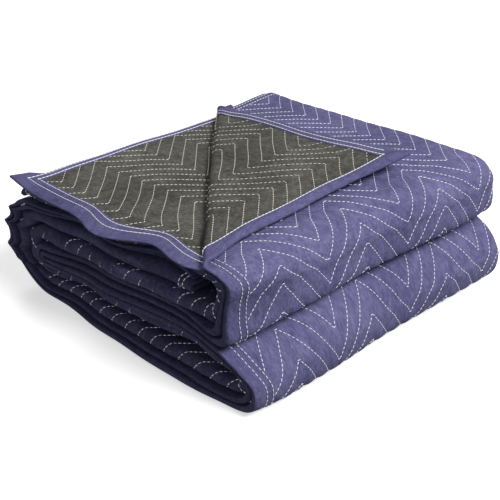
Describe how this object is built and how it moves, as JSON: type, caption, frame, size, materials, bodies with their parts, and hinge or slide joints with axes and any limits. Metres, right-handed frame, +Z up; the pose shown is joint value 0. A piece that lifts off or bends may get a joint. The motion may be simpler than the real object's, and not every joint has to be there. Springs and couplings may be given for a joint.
{
  "type": "moving blanket",
  "caption": "Quilted moving blanket with a bound edge, folded flat on itself in two tiers, with one top corner turned back.",
  "frame": {"origin": "middle of the folded blanket's bounding box, on the surface that it rests on", "axes": "+Z up; +X out of the side where the tiers show their rounded turns; -Y out of the side where the open hems and folds show; +Y out of the side with the smooth turns"},
  "size_m": [0.4824, 0.49, 0.205],
  "materials": {
    "face_panel": "matt non-woven felt, violet blue",
    "back_panel": "matt non-woven felt, charcoal",
    "edge_binding": "matt non-woven strip, violet blue"
  },
  "bodies": {
    "root": {"face_panel": "face_panel", "back_panel": "back_panel", "edge_binding": "edge_binding"}
  },
  "joints": []
}
